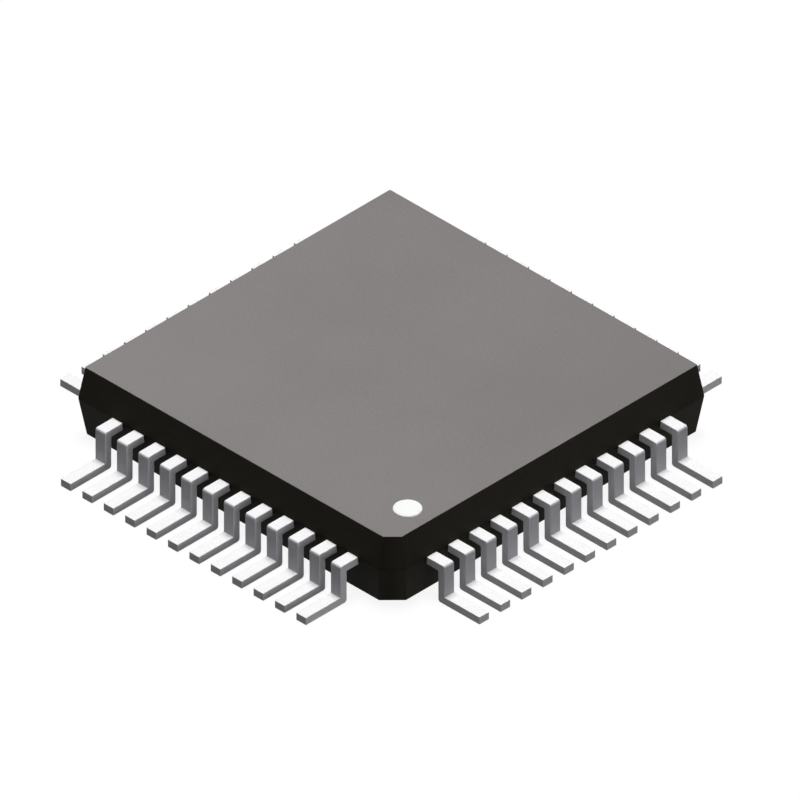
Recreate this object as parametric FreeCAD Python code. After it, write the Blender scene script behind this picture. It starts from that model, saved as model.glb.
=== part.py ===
import FreeCAD, Part
import math
import os

from FreeCAD import Vector

# Quad flat pack chip: a moulded body with twelve gull-wing leads on each side.
# Millimetres. The origin is under the middle of the body, on the plane the feet stand on, +Z up.
# Lead 1 is on the +X side beside the chamfered corner, and the count runs anticlockwise from above.

# Leads
lead_pitch = 0.50
leads_per_side = 12
lead_width = 0.23
lead_thickness = 0.15
foot_tip_span = 9.80
riser_span = 8.17
shoulder_top = 0.77
bend_radius = 0.05

# Moulded body
top_width = 7.19
parting_width = 7.36
bottom_width = 7.16
body_height = 1.40
standoff = 0.04
corner_radius = 0.03
pin_one_chamfer_top = 0.22
pin_one_chamfer_parting = 0.32
pin_one_chamfer_bottom = 0.32
ejector_mark_radius = 0.45
ejector_mark_depth = 0.03
ejector_mark_offset = 2.30

# Pin-one dot, a paint-filled dimple in the top face
dot_x = 3.11
dot_y = -2.75
dot_radius = 0.25
dot_depth = 0.03
dot_rim = 0.035
dot_crown = 0.05
dot_crown_radius = 0.22

# Lead frame inside the body
finger_root = 3.35
finger_tip = 2.20
finger_tip_pitch = 0.33
finger_tip_width = 0.16
paddle_width = 3.50
paddle_downset = 0.24
tie_bar_width = 0.20
tie_bar_end = 4.70
tie_bar_ramp = 0.30

# Die and its wires
die_width = 2.70
die_thickness = 0.28
attach_width = 2.80
attach_thickness = 0.02
die_pad_pitch = 0.21
die_pad_inset = 0.09
wire_thickness = 0.03
wire_rise = 0.17
wire_shoulder_drop = 0.02
wire_shoulder_share = 0.35
stitch_inset = 0.14

# Worked out from the dimensions above
shoulder_bottom = shoulder_top - lead_thickness
parting_height = shoulder_top
paddle_top = shoulder_top - paddle_downset
paddle_bottom = paddle_top - lead_thickness
die_bottom = paddle_top + attach_thickness
die_top = die_bottom + die_thickness
up = Vector(0, 0, 1)
quarter_turns = range(4)


def rounded_wire(corners, radii):
    """Closed outline through the corners, with a tangent arc at each corner that has a radius."""
    edges = []
    run_starts = []
    run_ends = []
    count = len(corners)
    for i in range(count):
        corner = corners[i]
        to_last = (corners[i - 1] - corner).normalize()
        to_next = (corners[(i + 1) % count] - corner).normalize()
        half_angle = to_last.getAngle(to_next) / 2
        cut_back = radii[i] / math.tan(half_angle)
        run_ends.append(corner + to_last * cut_back)
        run_starts.append(corner + to_next * cut_back)
        if radii[i] > 0:
            bisector = (to_last + to_next).normalize()
            middle = corner + bisector * (radii[i] / math.sin(half_angle) - radii[i])
            edges.append(Part.Arc(run_ends[i], middle, run_starts[i]).toShape())
    for i in range(count):
        edges.append(Part.makeLine(run_starts[i - 1], run_ends[i]))
    return Part.Wire(Part.__sortEdges__(edges))


def offset_of(index):
    """Distance of a lead from the middle of its side, counted from the first lead."""
    return index - (leads_per_side - 1) / 2


def on_side(shape, turn):
    """A copy of a +X side shape, turned to the given side."""
    turned = shape.copy()
    turned.rotate(Vector(0, 0, 0), up, 90 * turn)
    return turned


# Leads: a flat strip bent twice outside the body, with a finger that fans in to the die

def gull_wing(across):
    """The bent strip from inside the wall to the foot's tip, coined sharp inside each bend."""
    outer = riser_span / 2
    inner = outer - lead_thickness
    tip = foot_tip_span / 2
    near = across - lead_width / 2
    corners = [
        Vector(finger_root, near, shoulder_bottom),
        Vector(inner, near, shoulder_bottom),
        Vector(inner, near, 0),
        Vector(tip, near, 0),
        Vector(tip, near, lead_thickness),
        Vector(outer, near, lead_thickness),
        Vector(outer, near, shoulder_top),
        Vector(finger_root, near, shoulder_top),
    ]
    radii = [0, 0, bend_radius, 0, 0, 0, bend_radius, 0]
    return Part.Face(rounded_wire(corners, radii)).extrude(Vector(0, lead_width, 0))


def finger(across, tip_across):
    """The flat tapered finger inside the body, in the same plane as the shoulder."""
    root_half = lead_width / 2
    tip_half = finger_tip_width / 2
    outline = Part.makePolygon([
        Vector(finger_root, across - root_half, shoulder_bottom),
        Vector(finger_root, across + root_half, shoulder_bottom),
        Vector(finger_tip, tip_across + tip_half, shoulder_bottom),
        Vector(finger_tip, tip_across - tip_half, shoulder_bottom),
        Vector(finger_root, across - root_half, shoulder_bottom),
    ])
    return Part.Face(outline).extrude(up * lead_thickness)


def make_lead(index):
    offset = offset_of(index)
    strip = gull_wing(offset * lead_pitch)
    return strip.fuse(finger(offset * lead_pitch, offset * finger_tip_pitch)).removeSplitter()


def make_leads():
    leads = {}
    for turn in quarter_turns:
        for index in range(leads_per_side):
            number = turn * leads_per_side + index + 1
            leads[f"lead_{number:02d}"] = on_side(make_lead(index), turn)
    return leads


# Paddle: the square that carries the die, hung from four tie bars and set down below the fingers

def tie_bar():
    root = paddle_width / 2
    ramp_start = paddle_width / 2 * math.sqrt(2) + lead_thickness
    ramp_end = ramp_start + tie_bar_ramp
    lean = lead_thickness * math.tan(math.atan2(paddle_downset, tie_bar_ramp) / 2)
    side = -tie_bar_width / 2
    corners = [
        Vector(root, side, paddle_bottom),
        Vector(ramp_start + lean, side, paddle_bottom),
        Vector(ramp_end + lean, side, shoulder_bottom),
        Vector(tie_bar_end, side, shoulder_bottom),
        Vector(tie_bar_end, side, shoulder_top),
        Vector(ramp_end, side, shoulder_top),
        Vector(ramp_start, side, paddle_top),
        Vector(root, side, paddle_top),
    ]
    bar = Part.Face(Part.makePolygon(corners + corners[:1])).extrude(Vector(0, tie_bar_width, 0))
    bar.rotate(Vector(0, 0, 0), up, 45)
    return bar


def make_paddle():
    half = paddle_width / 2
    plate = Part.makeBox(paddle_width, paddle_width, lead_thickness, Vector(-half, -half, paddle_bottom))
    bars = [on_side(tie_bar(), turn) for turn in quarter_turns]
    return plate.multiFuse(bars).removeSplitter()


# Die, its bonding layer, and the wires

def square_slab(width, bottom, thickness):
    return Part.makeBox(width, width, thickness, Vector(-width / 2, -width / 2, bottom))


def wire_path(index):
    """Straight up from the die, over a short shoulder and down to the finger."""
    offset = offset_of(index)
    start = Vector(die_width / 2 - die_pad_inset, offset * die_pad_pitch, die_top)
    share = stitch_inset / (finger_root - finger_tip)
    stitch_across = offset * (finger_tip_pitch + (lead_pitch - finger_tip_pitch) * share)
    end = Vector(finger_tip + stitch_inset, stitch_across, shoulder_top)
    peak = start + up * wire_rise
    shoulder = peak + (end - start) * wire_shoulder_share
    shoulder.z = peak.z - wire_shoulder_drop
    return [start, peak, shoulder, end]


def make_wire(index):
    """One bond wire, drawn four-sided and mitred at each bend."""
    path = wire_path(index)
    directions = [(path[i + 1] - path[i]).normalize() for i in range(len(path) - 1)]
    along = Vector(path[-1].x - path[0].x, path[-1].y - path[0].y, 0).normalize() * (wire_thickness / 2)
    across = up.cross(along)
    ring = [path[0] + corner for corner in (along + across, across - along, -along - across, along - across)]
    rings = [ring]
    for i, direction in enumerate(directions):
        if i + 1 < len(directions):
            normal = direction + directions[i + 1]
        else:
            normal = up
        target = path[i + 1]
        ring = [p + direction * ((target - p).dot(normal) / direction.dot(normal)) for p in ring]
        rings.append(ring)
    faces = []
    for low, high in zip(rings, rings[1:]):
        for k in range(4):
            after = (k + 1) % 4
            quad = [low[k], low[after], high[after], high[k], low[k]]
            faces.append(Part.Face(Part.makePolygon(quad)))
    for end in (rings[0], rings[-1]):
        faces.append(Part.Face(Part.makePolygon(end + end[:1])))
    wire = Part.Solid(Part.Shell(faces))
    if wire.Volume < 0:
        wire.reverse()
    return wire


def make_wires():
    wires = {}
    for turn, side in zip(quarter_turns, ("east", "north", "west", "south")):
        row = [on_side(make_wire(index), turn) for index in range(leads_per_side)]
        wires[f"bond_wires_{side}"] = Part.makeCompound(row)
    return wires


# Moulded body: two drafted halves that meet at the parting line, with a chamfer at lead one

def body_outline(width, chamfer, height):
    half = width / 2
    corners = [
        Vector(-half, -half, height),
        Vector(half - chamfer, -half, height),
        Vector(half, chamfer - half, height),
        Vector(half, half, height),
        Vector(-half, half, height),
    ]
    return rounded_wire(corners, [corner_radius, 0, 0, corner_radius, corner_radius])


def make_body(buried):
    """The moulding, with room for every piece that is cast into it."""
    outlines = [
        body_outline(bottom_width, pin_one_chamfer_bottom, standoff),
        body_outline(parting_width, pin_one_chamfer_parting, parting_height),
        body_outline(top_width, pin_one_chamfer_top, body_height),
    ]
    block = Part.makeLoft(outlines, True, True)
    marks = []
    for turn in quarter_turns:
        place = Vector(ejector_mark_offset, ejector_mark_offset, standoff)
        mark = Part.makeCylinder(ejector_mark_radius, ejector_mark_depth, place, up)
        marks.append(on_side(mark, turn))
    return block.cut(marks + buried)


def make_dot():
    """The paint in the dimple, which stands a little proud with a sloped edge."""
    foot = Vector(dot_x, dot_y, body_height - dot_depth)
    rim = Vector(dot_x, dot_y, body_height + dot_rim)
    fill = Part.makeCylinder(dot_radius, dot_depth + dot_rim, foot, up)
    crown = Part.makeCone(dot_radius, dot_crown_radius, dot_crown - dot_rim, rim, up)
    return fill.fuse(crown)


leads = make_leads()
wires = make_wires()
inner = {
    "die_paddle": make_paddle(),
    "die_attach": square_slab(attach_width, paddle_top, attach_thickness),
    "die": square_slab(die_width, die_bottom, die_thickness),
    "index_dot": make_dot(),
}
pieces = {**inner, **wires, **leads}
buried = []
for piece in pieces.values():
    buried.extend(piece.Solids)
pieces["mould_body"] = make_body(buried)

os.makedirs("parts", exist_ok=True)
for name, shape in pieces.items():
    shape.exportStep(f"parts/{name}.step")
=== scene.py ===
import math
import random

import bmesh
import bpy
from mathutils import Matrix, Vector


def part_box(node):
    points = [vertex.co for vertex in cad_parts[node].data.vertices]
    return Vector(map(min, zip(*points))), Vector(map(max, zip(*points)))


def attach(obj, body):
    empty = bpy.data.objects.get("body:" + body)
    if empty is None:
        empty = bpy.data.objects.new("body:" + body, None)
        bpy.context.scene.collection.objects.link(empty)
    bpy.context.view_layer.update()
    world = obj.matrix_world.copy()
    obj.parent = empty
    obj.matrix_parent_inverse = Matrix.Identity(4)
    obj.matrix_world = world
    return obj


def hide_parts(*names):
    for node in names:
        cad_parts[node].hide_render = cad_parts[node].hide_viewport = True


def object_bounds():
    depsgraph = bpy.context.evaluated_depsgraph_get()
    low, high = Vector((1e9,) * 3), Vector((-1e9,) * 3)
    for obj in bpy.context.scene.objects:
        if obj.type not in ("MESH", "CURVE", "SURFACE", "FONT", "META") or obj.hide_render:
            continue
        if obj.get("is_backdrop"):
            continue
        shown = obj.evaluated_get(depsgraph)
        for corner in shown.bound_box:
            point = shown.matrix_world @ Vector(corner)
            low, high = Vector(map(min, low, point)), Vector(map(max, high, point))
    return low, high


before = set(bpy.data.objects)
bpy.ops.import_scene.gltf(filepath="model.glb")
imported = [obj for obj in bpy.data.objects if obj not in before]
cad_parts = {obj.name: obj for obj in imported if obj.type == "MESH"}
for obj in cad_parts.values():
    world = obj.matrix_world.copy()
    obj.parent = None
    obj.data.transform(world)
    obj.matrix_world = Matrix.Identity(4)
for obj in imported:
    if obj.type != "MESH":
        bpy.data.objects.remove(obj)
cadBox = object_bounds()
mm = 0.001
print("frame loaded")


# A socket that can be used in sums, and that makes the nodes it feeds

class Link:
    def __init__(self, tree, socket=None):
        self.tree = tree
        self.socket = socket

    def make(self, kind, settings=None, inputs=None, output=0):
        node = self.tree.nodes.new(kind)
        for key, value in (settings or {}).items():
            setattr(node, key, value)
        for key, value in (inputs or {}).items():
            if isinstance(value, Link):
                self.tree.links.new(value.socket, node.inputs[key])
            else:
                node.inputs[key].default_value = value
        if len(node.outputs) == 0:
            return None
        return Link(self.tree, node.outputs[output])

    def maths(self, operation, *values):
        return self.make("ShaderNodeMath", {"operation": operation}, dict(enumerate(values)))

    def __add__(self, other):
        return self.maths("ADD", self, other)

    def __radd__(self, other):
        return self.maths("ADD", other, self)

    def __sub__(self, other):
        return self.maths("SUBTRACT", self, other)

    def __rsub__(self, other):
        return self.maths("SUBTRACT", other, self)

    def __mul__(self, other):
        return self.maths("MULTIPLY", self, other)

    def __rmul__(self, other):
        return self.maths("MULTIPLY", other, self)

    def __truediv__(self, other):
        return self.maths("DIVIDE", self, other)

    def __rtruediv__(self, other):
        return self.maths("DIVIDE", other, self)

    def __abs__(self):
        return self.maths("ABSOLUTE", self)

    def __round__(self):
        return self.maths("ROUND", self)

    def larger(self, other):
        return self.maths("MAXIMUM", self, other)

    def ease(self, low, high):               # 0 below low, 1 above high, smooth between
        return self.make("ShaderNodeMapRange", {"interpolation_type": "SMOOTHSTEP"},
                         {"Value": self, "From Min": low, "From Max": high})

    def mix(self, colourA, colourB):         # this value blends two colours
        return self.make("ShaderNodeMix", {"data_type": "RGBA"},
                         {"Factor": self, 6: colourA, 7: colourB}, output=2)


def newMaterial(name):
    material = bpy.data.materials.new(name)
    material.use_nodes = True
    material.node_tree.nodes.clear()
    return material, Link(material.node_tree)


def finishSurface(pen, inputs):
    surface = pen.make("ShaderNodeBsdfPrincipled", None, inputs)
    pen.make("ShaderNodeOutputMaterial", None, {"Surface": surface})


def objectPlace(pen):
    return pen.make("ShaderNodeTexCoord", output="Object")


# Runs from 0 to 1 and stays near 0.5
def noise(pen, place, grainSize, detail=2):
    return pen.make("ShaderNodeTexNoise", None,
                    {"Vector": place, "Scale": 1 / grainSize, "Detail": detail})


def bump(pen, height, look):
    return pen.make("ShaderNodeBump", None,
                    {"Height": height, "Distance": look["bumpDepth"], "Strength": look["bumpStrength"]})


# Mesh and object helpers

def newObject(name, data):
    piece = bpy.data.objects.new(name, data)
    bpy.context.collection.objects.link(piece)
    return piece


def meshFrom(work, name):
    mesh = bpy.data.meshes.new(name)
    work.to_mesh(mesh)
    work.free()
    return mesh


# A band of faces between two closed loops of points, one above the other
def addBand(work, lower, upper):
    for k in range(len(lower)):
        after = (k + 1) % len(lower)
        work.faces.new((lower[k], lower[after], upper[after], upper[k]))


# Swaps the mesh for its evaluated one and drops the modifiers
def applyModifiers(piece):
    bpy.context.view_layer.update()
    graph = bpy.context.evaluated_depsgraph_get()
    mesh = bpy.data.meshes.new_from_object(piece.evaluated_get(graph))
    piece.modifiers.clear()
    piece.data = mesh


# Camera: flat projection from above the chamfered corner, framed as the photograph is

shot = {
    "side": 800,                  # photograph, pixels
    "pixelsPerMm": 60.29,
    "topCentreAt": (391.2, 365.6),
    "azimuth": 44.85,
    "elevation": 35.13,
    "roll": 0.14,                 # the photograph's right-hand side stands this much higher
    "distance": 0.2,
    "clipStart": 0.001,
    "clipEnd": 10,
}


def makeCamera():
    data = bpy.data.cameras.new("camera")
    data.type = "ORTHO"
    data.ortho_scale = shot["side"] / shot["pixelsPerMm"] * mm
    data.clip_start = shot["clipStart"]
    data.clip_end = shot["clipEnd"]
    camera = newObject("camera", data)
    turn = math.radians(shot["azimuth"])
    tilt = math.radians(shot["elevation"])
    back = Vector((math.sin(turn) * math.cos(tilt), -math.cos(turn) * math.cos(tilt), math.sin(tilt)))
    level = Vector((math.cos(turn), math.sin(turn), 0))
    right = Matrix.Rotation(math.radians(-shot["roll"]), 3, back) @ level
    up = back.cross(right)
    topCentre = Vector((0, 0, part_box("mould_body")[1].z))
    acrossMm = (shot["topCentreAt"][0] - shot["side"] / 2) / shot["pixelsPerMm"]
    downMm = (shot["topCentreAt"][1] - shot["side"] / 2) / shot["pixelsPerMm"]
    camera.location = topCentre - right * acrossMm * mm + up * downMm * mm + back * shot["distance"]
    camera.rotation_mode = "QUATERNION"
    camera.rotation_quaternion = Matrix((right, up, back)).transposed().to_quaternion()
    bpy.context.scene.camera = camera


makeCamera()
print("camera set")


# Pieces inside the moulding: each a metal or mineral with a fine mottle

innerLooks = {
    "die": {
        "name": "silicon", "tone": (0.20, 0.20, 0.24, 1), "toneDark": (0.13, 0.13, 0.17, 1),
        "grain": 0.08 * mm, "metallic": 0.3, "roughness": 0.25,
    },
    "die_attach": {
        "name": "silver epoxy", "tone": (0.60, 0.60, 0.58, 1), "toneDark": (0.45, 0.45, 0.44, 1),
        "grain": 0.03 * mm, "metallic": 0.6, "roughness": 0.5,
    },
    "die_paddle": {
        "name": "copper", "tone": (0.72, 0.40, 0.27, 1), "toneDark": (0.58, 0.30, 0.19, 1),
        "grain": 0.05 * mm, "metallic": 1.0, "roughness": 0.35,
    },
    "bond_wires": {
        "name": "gold wire", "tone": (0.85, 0.62, 0.24, 1), "toneDark": (0.76, 0.53, 0.18, 1),
        "grain": 0.02 * mm, "metallic": 1.0, "roughness": 0.25,
    },
}
innerMottle = {
    "darkBelow": 0.35,
    "fullAbove": 0.65,
    "roughnessSwing": 0.2,
    "bumpDepth": 0.002 * mm,
    "bumpStrength": 0.4,
}


def innerFinish(look):
    material, pen = newMaterial(look["name"])
    grain = noise(pen, objectPlace(pen), look["grain"], detail=3)
    mottle = grain.ease(innerMottle["darkBelow"], innerMottle["fullAbove"])
    finishSurface(pen, {
        "Base Color": mottle.mix(look["toneDark"], look["tone"]),
        "Metallic": look["metallic"],
        "Roughness": look["roughness"] + (grain - 0.5) * innerMottle["roughnessSwing"],
        "Normal": bump(pen, grain, innerMottle),
    })
    return material


def finishInnerPieces():
    finishes = {kind: innerFinish(look) for kind, look in innerLooks.items()}
    for name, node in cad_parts.items():
        kind = "bond_wires" if name.startswith("bond_wires") else name
        if kind in finishes:
            node.data.materials.clear()
            node.data.materials.append(finishes[kind])


finishInnerPieces()
print("inner pieces finished")


# Moulding

# Painted light: the top's grey stands for light falling on the same black compound as the sides
paintedLitTopLook = {
    "tone": (0.222, 0.207, 0.206, 1),
    "toneDeep": (0.186, 0.173, 0.172, 1),
    "roughness": 0.62,
    "shine": 0.15,
    "cloud": 2.2 * mm,
    "paintedLightDrift": 0.045 / mm,          # painted light: the tone lightens this fast towards the -X -Y corner
}
mouldSideLook = {
    "tone": (0.0245, 0.0222, 0.0165, 1),
    "toneDeep": (0.0165, 0.015, 0.011, 1),
    "roughness": 0.5,
    "shine": 0.03,
    "cloud": 1.2 * mm,
    "paintedLightDrift": 0,
}
silica = {
    "grain": 0.045 * mm,
    "grainSwing": 1.2,
    "cloudSwing": 0.8,
    "roughnessSwing": 0.2,
    "fleck": 0.0225 * mm,
    "fleckAbove": 0.66,
    "fleckFullAbove": 0.76,
    "fleckShare": 0.3,
    "fleckLight": 1.3,            # times the tone round it
    "bumpDepth": 0.004 * mm,
    "bumpStrength": 0.6,
}
mouldingShape = {
    "topHalf": 3.595 * mm,
    "bottomHalf": 3.58 * mm,
    "chamferTop": 0.22 * mm,
    "chamferParting": 0.32 * mm,
    "chamferBottom": 0.32 * mm,
    "cornerRadius": 0.03 * mm,
    "cornerSteps": 5,
    "seamHeight": 0.008 * mm,     # above and below the parting line
    "seamDepth": 0.006 * mm,
    "rimRadius": 0.012 * mm,
    "rimSteps": 3,
    "markRadius": 0.45 * mm,      # ejector marks on the underside
    "markDepth": 0.03 * mm,
    "markOffset": 2.30 * mm,
    "markSides": 64,
}


# Filled epoxy: a matt resin with a fine grain of silica, and a painted light that lightens the tone a
# little across it
def mouldingFinish(name, look):
    material, pen = newMaterial(name)
    place = objectPlace(pen)
    grain = noise(pen, place, silica["grain"], detail=3)
    cloud = noise(pen, place, look["cloud"])
    speckle = noise(pen, place, silica["fleck"], detail=1)
    fleck = speckle.ease(silica["fleckAbove"], silica["fleckFullAbove"])
    across = pen.make("ShaderNodeVectorMath", {"operation": "DOT_PRODUCT"},
                      {0: place, 1: (-1, -1, 0)}, output="Value")
    mottle = (grain - 0.5) * silica["grainSwing"] + (cloud - 0.5) * silica["cloudSwing"]
    # random mottle plus a painted light falloff across the face
    shade = 0.5 + mottle + across * look["paintedLightDrift"]
    tone = shade.ease(0.0, 1.0).mix(look["toneDeep"], look["tone"])
    lit = tuple(min(1, c * silica["fleckLight"]) for c in look["tone"][:3]) + (1,)
    finishSurface(pen, {
        "Base Color": (fleck * silica["fleckShare"]).mix(tone, lit),
        "Roughness": look["roughness"] + (grain - 0.5) * silica["roughnessSwing"],
        "Specular IOR Level": look["shine"],
        "Normal": bump(pen, grain, silica),
    })
    return material


# Points round the body: the chamfer at lead one and three rounded corners
def mouldOutline(half, chamfer, height):
    radius = mouldingShape["cornerRadius"]
    steps = mouldingShape["cornerSteps"]
    points = [Vector((half - chamfer, -half, height)), Vector((half, chamfer - half, height))]
    for quarter, (signX, signY) in enumerate(((1, 1), (-1, 1), (-1, -1))):
        centre = Vector((signX * (half - radius), signY * (half - radius), height))
        for k in range(steps + 1):
            angle = math.radians(90 * quarter + 90 * k / steps)
            points.append(centre + Vector((math.cos(angle), math.sin(angle), 0)) * radius)
    return points


# Both drafted halves with the fine seam between them, and the two rims weighted for rounding
def mouldingMesh():
    shape = mouldingShape
    low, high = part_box("mould_body")
    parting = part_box("lead_01")[1].z
    seam = shape["seamHeight"]
    rings = [
        mouldOutline(shape["bottomHalf"], shape["chamferBottom"], low.z),
        mouldOutline(high.x, shape["chamferParting"], parting - seam),
        mouldOutline(high.x - shape["seamDepth"], shape["chamferParting"], parting),
        mouldOutline(high.x, shape["chamferParting"], parting + seam),
        mouldOutline(shape["topHalf"], shape["chamferTop"], high.z),
    ]
    work = bmesh.new()
    loops = [[work.verts.new(p) for p in ring] for ring in rings]
    for lower, upper in zip(loops, loops[1:]):
        addBand(work, lower, upper)
    topFace = work.faces.new(loops[-1])
    # the top face takes the finish with painted light
    topFace.material_index = 1
    work.faces.new(list(reversed(loops[0])))
    weight = work.edges.layers.float.new("bevel_weight_edge")
    for loop in (loops[0], loops[-1]):
        for k in range(len(loop)):
            edge = work.edges.get((loop[k - 1], loop[k]))
            edge[weight] = 1.0
    mesh = meshFrom(work, "moulding")
    mesh.shade_smooth()
    return mesh


def makeEjectorCutter():
    radius = mouldingShape["markRadius"]
    depth = mouldingShape["markDepth"]
    offset = mouldingShape["markOffset"]
    sides = mouldingShape["markSides"]
    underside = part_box("mould_body")[0].z
    work = bmesh.new()
    for signX in (-1, 1):
        for signY in (-1, 1):
            made = bmesh.ops.create_cone(work, cap_ends=True, segments=sides,
                                         radius1=radius, radius2=radius, depth=2 * depth)
            shift = Vector((signX * offset, signY * offset, underside))
            bmesh.ops.translate(work, verts=made["verts"], vec=shift)
    return newObject("ejector_cutter", meshFrom(work, "ejector cutter"))


def makeMoulding():
    mesh = mouldingMesh()
    mesh.materials.append(mouldingFinish("moulded side", mouldSideLook))
    mesh.materials.append(mouldingFinish("matt top painted lit", paintedLitTopLook))
    piece = newObject("moulding", mesh)
    rim = piece.modifiers.new("rim", "BEVEL")
    rim.limit_method = "WEIGHT"
    rim.width = mouldingShape["rimRadius"]
    rim.segments = mouldingShape["rimSteps"]
    cutter = makeEjectorCutter()
    marks = piece.modifiers.new("ejector marks", "BOOLEAN")
    marks.operation = "DIFFERENCE"
    marks.object = cutter
    piece.modifiers.new("flat faces stay flat", "WEIGHTED_NORMAL").keep_sharp = True
    applyModifiers(piece)
    bpy.data.objects.remove(cutter)
    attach(piece, "root")
    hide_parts("mould_body")


makeMoulding()
print("moulding made")


# Index dot

inkLook = {
    "tone": (0.91, 0.925, 0.905, 1),
    "toneThin": (0.86, 0.875, 0.855, 1),
    "thinBelow": 0.35,
    "fullAbove": 0.6,
    "grain": 0.03 * mm,
    "roughness": 0.5,
    "roughnessSwing": 0.1,
    "shine": 0.3,
    "bumpDepth": 0.002 * mm,
    "bumpStrength": 0.4,
}
dotShape = {
    "sides": 96,
    "rings": 14,
    "fullness": 4,                # 2 is a dome, more is a fuller drop
    "edgeWander": 0.006,          # share of the radius
    "waves": 6,
    "seed": 4,
}


# White marking ink, a touch thinner in places
def inkFinish():
    material, pen = newMaterial("index ink")
    grain = noise(pen, objectPlace(pen), inkLook["grain"], detail=3)
    cover = grain.ease(inkLook["thinBelow"], inkLook["fullAbove"])
    finishSurface(pen, {
        "Base Color": cover.mix(inkLook["toneThin"], inkLook["tone"]),
        "Roughness": inkLook["roughness"] + grain * inkLook["roughnessSwing"],
        "Specular IOR Level": inkLook["shine"],
        "Normal": bump(pen, grain, inkLook),
    })
    return material


# A drop of ink that fills its dimple and stands proud, full at the edge and nearly level on top
def makeDot():
    shape = dotShape
    low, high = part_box("index_dot")
    centre = (low + high) / 2
    radius = (high.x - low.x) / 2
    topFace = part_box("mould_body")[1].z
    rule = random.Random(shape["seed"])
    counts = range(2, 2 + shape["waves"])
    waves = [(n, rule.uniform(-1, 1), rule.uniform(0, 2 * math.pi)) for n in counts]
    work = bmesh.new()

    def ring(share, height):
        points = []
        for k in range(shape["sides"]):
            angle = 2 * math.pi * k / shape["sides"]
            wander = sum(size * math.sin(n * angle + phase) for n, size, phase in waves) / len(waves)
            reach = radius * share * (1 - shape["edgeWander"] * (1 + wander))
            place = centre + Vector((math.cos(angle), math.sin(angle), 0)) * reach
            points.append(work.verts.new((place.x, place.y, height)))
        return points

    loops = [ring(1, low.z)]
    for step in range(shape["rings"]):
        turn = math.pi / 2 * step / shape["rings"]
        share = math.cos(turn) ** (2 / shape["fullness"])
        rise = math.sin(turn) ** (2 / shape["fullness"])
        loops.append(ring(share, topFace + (high.z - topFace) * rise))
    for lower, upper in zip(loops, loops[1:]):
        addBand(work, lower, upper)
    work.faces.new(list(reversed(loops[0])))
    tip = work.verts.new((centre.x, centre.y, high.z))
    for k in range(shape["sides"]):
        work.faces.new((loops[-1][k], loops[-1][(k + 1) % shape["sides"]], tip))
    mesh = meshFrom(work, "index_mark")
    mesh.shade_smooth()
    mesh.materials.append(inkFinish())
    piece = newObject("index_mark", mesh)
    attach(piece, "root")
    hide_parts("index_dot")


makeDot()
print("index dot made")


# Leads: one side outline, swept to its width, set out in four rows and fanned in to the die

tinLook = {
    "plated": (0.905, 0.902, 0.905, 1),      # flats
    "paintedRiserShade": (0.44, 0.43, 0.46, 1),         # painted shade on the risers and bends
    "shearedAndShaded": (0.79, 0.78, 0.81, 1),        # the strip's edges, darker partly from shearing and partly as painted shade
    "turnsFrom": 0.3,                        # how steep a face is where its painted shade starts to change
    "turnsBy": 0.9,
    "worn": (0.92, 0.92, 0.925, 1),
    "wornBelow": 0.3,
    "brightAbove": 0.7,
    "metallic": 0.08,
    "roughness": 0.72,
    "roughnessSwing": 0.3,
    "shine": 0.2,
    "crystal": 0.035 * mm,
    "striation": 0.02 * mm,
    "striationDraw": (1, 1, 0.12),           # drawn out along Z
    "bumpDepth": 0.003 * mm,
    "bumpStrength": 0.4,
}
leadShape = {                                # each is an input of the node tree
    "pitch": 0.50 * mm,
    "perSide": 12,
    "width": 0.23 * mm,
    "thickness": 0.15 * mm,
    "riserFace": 4.085 * mm,
    "fingerRoot": 3.35 * mm,
    "fingerTip": 2.20 * mm,
    "tipPitch": 0.33 * mm,
    "tipWidth": 0.16 * mm,
    "bendRadius": 0.05 * mm,
    "bendSteps": 5,
    "weldGap": 0.0001 * mm,
    "rootMargin": 0.001 * mm,
    "cutEndShadeFade": 0.4,                       # how much less painted riser shade the cut end of the foot takes
}
leadEdges = {
    "innerBend": 0.3,                        # inside bends, as a share of the outside radius
    "radius": 0.010 * mm,
    "steps": 2,
    "sharpAngle": 50,
}


# Matt tin plate: bright on the flats, with painted shade down the risers and bends and partly on the
# sheared edges, and lightly striated on the edges
def tinFinish():
    material, pen = newMaterial("tin plate")
    place = objectPlace(pen)
    upright = pen.make("ShaderNodeAttribute", {"attribute_name": "upright"}, output="Fac")
    flank = pen.make("ShaderNodeAttribute", {"attribute_name": "flank"}, output="Fac")
    crystal = noise(pen, place, tinLook["crystal"], detail=3)
    drawnOut = pen.make("ShaderNodeVectorMath", {"operation": "MULTIPLY"},
                        {0: place, 1: tinLook["striationDraw"]}, output="Vector")
    striation = noise(pen, drawnOut, tinLook["striation"], detail=2)
    # Painted shade: faces turned along the lead (risers, bends) and, partly, across it (sheared edges)
    # take a darker tone
    onRiser = upright.ease(tinLook["turnsFrom"], tinLook["turnsBy"])
    onFlank = flank.ease(tinLook["turnsFrom"], tinLook["turnsBy"])
    tone = onFlank.mix(onRiser.mix(tinLook["plated"], tinLook["paintedRiserShade"]), tinLook["shearedAndShaded"])
    mottle = crystal * (1 - flank) + striation * flank
    worn = mottle.ease(tinLook["wornBelow"], tinLook["brightAbove"]).mix(tinLook["worn"], (1, 1, 1, 1))
    tone = pen.make("ShaderNodeMix", {"data_type": "RGBA", "blend_type": "MULTIPLY"},
                    {"Factor": 1.0, 6: tone, 7: worn}, output=2)
    finishSurface(pen, {
        "Base Color": tone,
        "Metallic": tinLook["metallic"],
        "Roughness": tinLook["roughness"] + (mottle - 0.5) * tinLook["roughnessSwing"],
        "Specular IOR Level": tinLook["shine"],
        "Normal": bump(pen, mottle, tinLook),
    })
    return material


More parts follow.
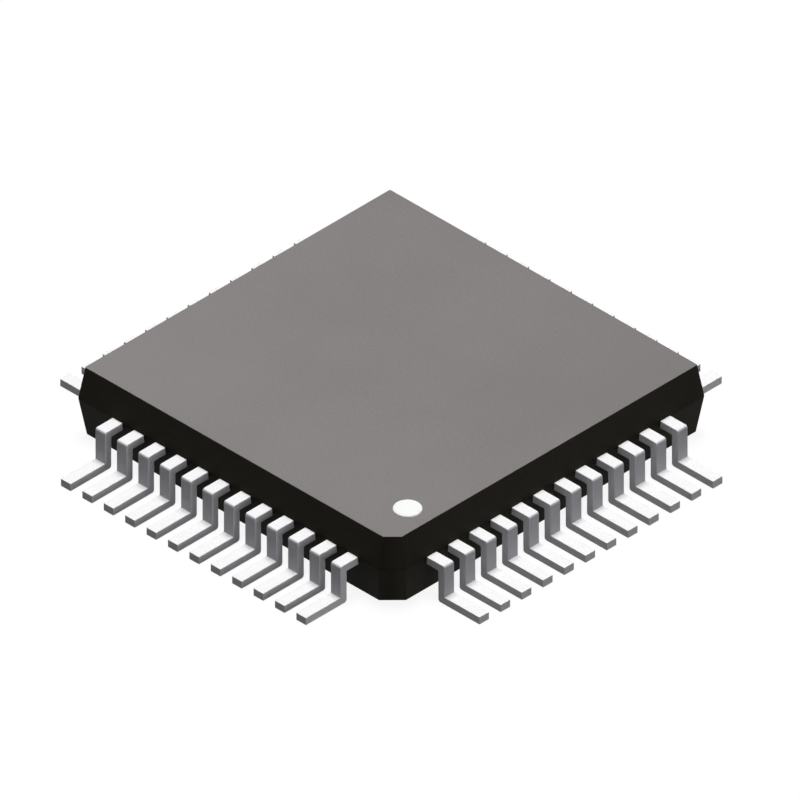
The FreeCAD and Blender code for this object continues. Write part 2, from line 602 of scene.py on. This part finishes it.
# Two loops in the XY plane, with the lead's height along Y: the bent strip, and its finger in the
# moulding. Each corner has its place, its height and its share of the bend radius.
def leadOutlines():
    shape = leadShape
    low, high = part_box("lead_01")
    outer = shape["riserFace"]
    inner = outer - shape["thickness"]
    under = high.z - shape["thickness"]
    footTop = low.z + shape["thickness"]
    insideBend = leadEdges["innerBend"]
    strip = [
        (shape["fingerRoot"], under, 0),
        (inner, under, insideBend),
        (inner, low.z, 1),
        (high.x, low.z, 0),
        (high.x, footTop, 0),
        (outer, footTop, insideBend),
        (outer, high.z, 1),
        (shape["fingerRoot"], high.z, 0),
    ]
    finger = [
        (shape["fingerTip"], under, 0),
        (shape["fingerRoot"], under, 0),
        (shape["fingerRoot"], high.z, 0),
        (shape["fingerTip"], high.z, 0),
    ]
    places = []
    edges = []
    for loop in (strip, finger):
        first = len(places)
        places += [(x, y, 0) for x, y, bend in loop]
        edges += [(first + k, first + (k + 1) % len(loop)) for k in range(len(loop))]
    mesh = bpy.data.meshes.new("lead outlines")
    mesh.from_pydata(places, edges, [])
    bends = mesh.attributes.new("bend", "FLOAT", "POINT")
    bends.data.foreach_set("value", [bend for x, y, bend in strip + finger])
    return newObject("plated_leads", mesh)


def alongAxis(pen, vector, axis):
    return pen.make("ShaderNodeSeparateXYZ", None, {"Vector": vector}, output=axis)


def placeAlong(pen, axis):
    return alongAxis(pen, pen.make("GeometryNodeInputPosition"), axis)


# The outline with its bends rounded, swept straight to the lead's width and stood up
def sweepLead(pen, given):
    bend = pen.make("GeometryNodeInputNamedAttribute", {"data_type": "FLOAT"}, {"Name": "bend"})
    outline = pen.make("GeometryNodeMeshToCurve", None, {"Mesh": given["outline"]})
    radius = bend * given["bendRadius"]
    outline = pen.make("GeometryNodeFilletCurve", {"mode": "POLY"},
                       {"Curve": outline, "Radius": radius, "Count": given["bendSteps"]})
    half = pen.make("ShaderNodeCombineXYZ", None, {"Z": given["width"] * 0.5})
    otherHalf = pen.make("ShaderNodeCombineXYZ", None, {"Z": given["width"] * -0.5})
    across = pen.make("GeometryNodeCurvePrimitiveLine", None, {"Start": otherHalf, "End": half})
    lead = pen.make("GeometryNodeCurveToMesh", None,
                    {"Curve": across, "Profile Curve": outline, "Fill Caps": True})
    lead = pen.make("GeometryNodeTransform", None, {"Geometry": lead, "Rotation": (math.pi / 2, 0, 0)})
    return pen.make("GeometryNodeMergeByDistance", None,
                    {"Geometry": lead, "Distance": given["weldGap"]})


# Strip and finger made one, by taking out the faces where they meet
def openRoot(pen, given, lead):
    x = placeAlong(pen, "X")
    atRoot = pen.make("FunctionNodeCompare", {"data_type": "FLOAT", "operation": "EQUAL"},
                      {"A": x, "B": given["fingerRoot"], "Epsilon": given["rootMargin"]})
    return pen.make("GeometryNodeDeleteGeometry", {"domain": "FACE", "mode": "ONLY_FACE"},
                    {"Geometry": lead, "Selection": atRoot})


# Each face keeps how far it looks along the lead and across it, for the finish to paint shade from
def markFaces(pen, given, lead):
    x = placeAlong(pen, "X")
    facing = pen.make("GeometryNodeInputNormal")
    onFoot = pen.make("FunctionNodeCompare", {"data_type": "FLOAT", "operation": "GREATER_THAN"},
                      {"A": x, "B": given["riserFace"] + given["thickness"]})
    # faces turned along the lead take the painted riser shade, less of it at the cut end of the foot
    upright = abs(alongAxis(pen, facing, "X")) * (1 - onFoot * given["cutEndShadeFade"])
    flank = abs(alongAxis(pen, facing, "Y"))
    for name, value in (("upright", upright), ("flank", flank)):
        lead = pen.make("GeometryNodeStoreNamedAttribute", {"data_type": "FLOAT", "domain": "FACE"},
                        {"Geometry": lead, "Name": name, "Value": value})
    return lead


# The leads of one side, at their pitch
def setRow(pen, given, lead):
    first = given["pitch"] * (given["perSide"] - 1) * -0.5
    start = pen.make("ShaderNodeCombineXYZ", None, {"Y": first})
    step = pen.make("ShaderNodeCombineXYZ", None, {"Y": given["pitch"]})
    row = pen.make("GeometryNodeMeshLine", None,
                   {"Count": given["perSide"], "Start Location": start, "Offset": step})
    row = pen.make("GeometryNodeInstanceOnPoints", None, {"Points": row, "Instance": lead})
    return pen.make("GeometryNodeRealizeInstances", None, {"Geometry": row})


# Inside the wall each lead leans towards the die and narrows
def fanFingers(pen, given, row):
    x = placeAlong(pen, "X")
    y = placeAlong(pen, "Y")
    number = round(y / given["pitch"] - 0.5) + 0.5
    share = pen.make("ShaderNodeMapRange", None,
                     {"Value": x, "From Min": given["fingerRoot"], "From Max": given["fingerTip"]})
    lean = number * (given["tipPitch"] - given["pitch"]) * share
    narrow = (y - number * given["pitch"]) * (given["tipWidth"] / given["width"] - 1) * share
    shift = pen.make("ShaderNodeCombineXYZ", None, {"Y": lean + narrow})
    return pen.make("GeometryNodeSetPosition", None, {"Geometry": row, "Offset": shift})


# The row once on each of the four sides
def turnRows(pen, row):
    corners = pen.make("GeometryNodeMeshLine", None, {"Count": 4, "Offset": (0, 0, 0)})
    quarter = pen.make("GeometryNodeInputIndex") * (math.pi / 2)
    turn = pen.make("ShaderNodeCombineXYZ", None, {"Z": quarter})
    rows = pen.make("GeometryNodeInstanceOnPoints", None,
                    {"Points": corners, "Instance": row, "Rotation": turn})
    return pen.make("GeometryNodeRealizeInstances", None, {"Geometry": rows})


def leadTree(tin):
    tree = bpy.data.node_groups.new("lead rows", "GeometryNodeTree")
    tree.interface.new_socket("outline", in_out="INPUT", socket_type="NodeSocketGeometry")
    for name, value in leadShape.items():
        kind = "NodeSocketInt" if isinstance(value, int) else "NodeSocketFloat"
        tree.interface.new_socket(name, in_out="INPUT", socket_type=kind).default_value = value
    tree.interface.new_socket("leads", in_out="OUTPUT", socket_type="NodeSocketGeometry")
    entry = tree.nodes.new("NodeGroupInput")
    given = {socket.name: Link(tree, socket) for socket in entry.outputs if socket.name}
    pen = Link(tree)
    lead = sweepLead(pen, given)
    lead = openRoot(pen, given, lead)
    lead = markFaces(pen, given, lead)
    row = setRow(pen, given, lead)
    row = fanFingers(pen, given, row)
    leads = turnRows(pen, row)
    leads = pen.make("GeometryNodeSetShadeSmooth", None, {"Geometry": leads})
    leads = pen.make("GeometryNodeSetMaterial", None, {"Geometry": leads, "Material": tin})
    pen.make("NodeGroupOutput", None, {"leads": leads})
    return tree


def makeLeads():
    piece = leadOutlines()
    rows = piece.modifiers.new("lead rows", "NODES")
    rows.node_group = leadTree(tinFinish())
    for socket in rows.node_group.interface.items_tree:
        if socket.name in leadShape:
            rows[socket.identifier] = leadShape[socket.name]
    edges = piece.modifiers.new("edges", "BEVEL")
    edges.limit_method = "ANGLE"
    edges.angle_limit = math.radians(leadEdges["sharpAngle"])
    edges.width = leadEdges["radius"]
    edges.segments = leadEdges["steps"]
    edges.harden_normals = True
    applyModifiers(piece)
    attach(piece, "root")
    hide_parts(*[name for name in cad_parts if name.startswith("lead_")])
    print("leads made:", len(piece.data.polygons), "faces")


makeLeads()


# Stage: white to the camera and in reflections, dimmer as a source of bounced light

white = (1, 1, 1, 1)
stageLook = {
    "floorSize": 4.0,
    "floorDrop": 0.002 * mm,
    "bounce": 0.06,               # how bright the floor is as a source of light
    "shadowDepth": 0.10,
    "ambient": 0.05,
}
panelLamp = {"place": (-0.01, 0.008, 0.24), "size": 0.1, "power": 0.585}
fillLamp = {"place": (0.3, -0.01, 0.05), "size": 0.15, "power": 0.16}


def seenDirectly(pen):
    direct = pen.make("ShaderNodeLightPath", output="Is Camera Ray")
    glossy = pen.make("ShaderNodeLightPath", output="Is Glossy Ray")
    through = pen.make("ShaderNodeLightPath", output="Is Transmission Ray")
    return direct.larger(glossy.larger(through))


def makeFloor():
    half = stageLook["floorSize"] / 2
    height = -stageLook["floorDrop"]
    corners = [(-half, -half, height), (half, -half, height),
               (half, half, height), (-half, half, height)]
    mesh = bpy.data.meshes.new("floor")
    mesh.from_pydata(corners, [], [(0, 1, 2, 3)])
    floor = newObject("floor", mesh)
    material, pen = newMaterial("floor")
    grey = stageLook["bounce"]
    seen = seenDirectly(pen)
    lit = pen.make("ShaderNodeBsdfDiffuse", None, {"Color": seen.mix((grey, grey, grey, 1), white)})
    glow = pen.make("ShaderNodeEmission", None, {"Color": white, "Strength": 1.0})
    surface = pen.make("ShaderNodeMixShader", None,
                       {0: seen * (1 - stageLook["shadowDepth"]), 1: lit, 2: glow})
    pen.make("ShaderNodeOutputMaterial", None, {"Surface": surface})
    mesh.materials.append(material)
    floor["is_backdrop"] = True


def makeWorld():
    world = bpy.data.worlds.new("studio")
    bpy.context.scene.world = world
    world.use_nodes = True
    world.node_tree.nodes.clear()
    pen = Link(world.node_tree)
    ambient = stageLook["ambient"]
    strength = ambient + seenDirectly(pen) * (1 - ambient)
    light = pen.make("ShaderNodeBackground", None, {"Color": white, "Strength": strength})
    pen.make("ShaderNodeOutputWorld", None, {"Surface": light})


def makeLamp(name, look):
    data = bpy.data.lights.new(name, "AREA")
    data.shape = "DISK"
    data.size = look["size"]
    data.energy = look["power"]
    lamp = newObject(name, data)
    lamp.location = look["place"]
    lamp.rotation_mode = "QUATERNION"
    lamp.rotation_quaternion = Vector(look["place"]).to_track_quat("Z", "Y")


makeFloor()
makeWorld()
makeLamp("panel", panelLamp)
makeLamp("fill", fillLamp)
bpy.context.scene.view_settings.view_transform = "Standard"
print("stage set")

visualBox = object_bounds()
sizes = {"cad": [list(corner) for corner in cadBox], "visual": [list(corner) for corner in visualBox]}
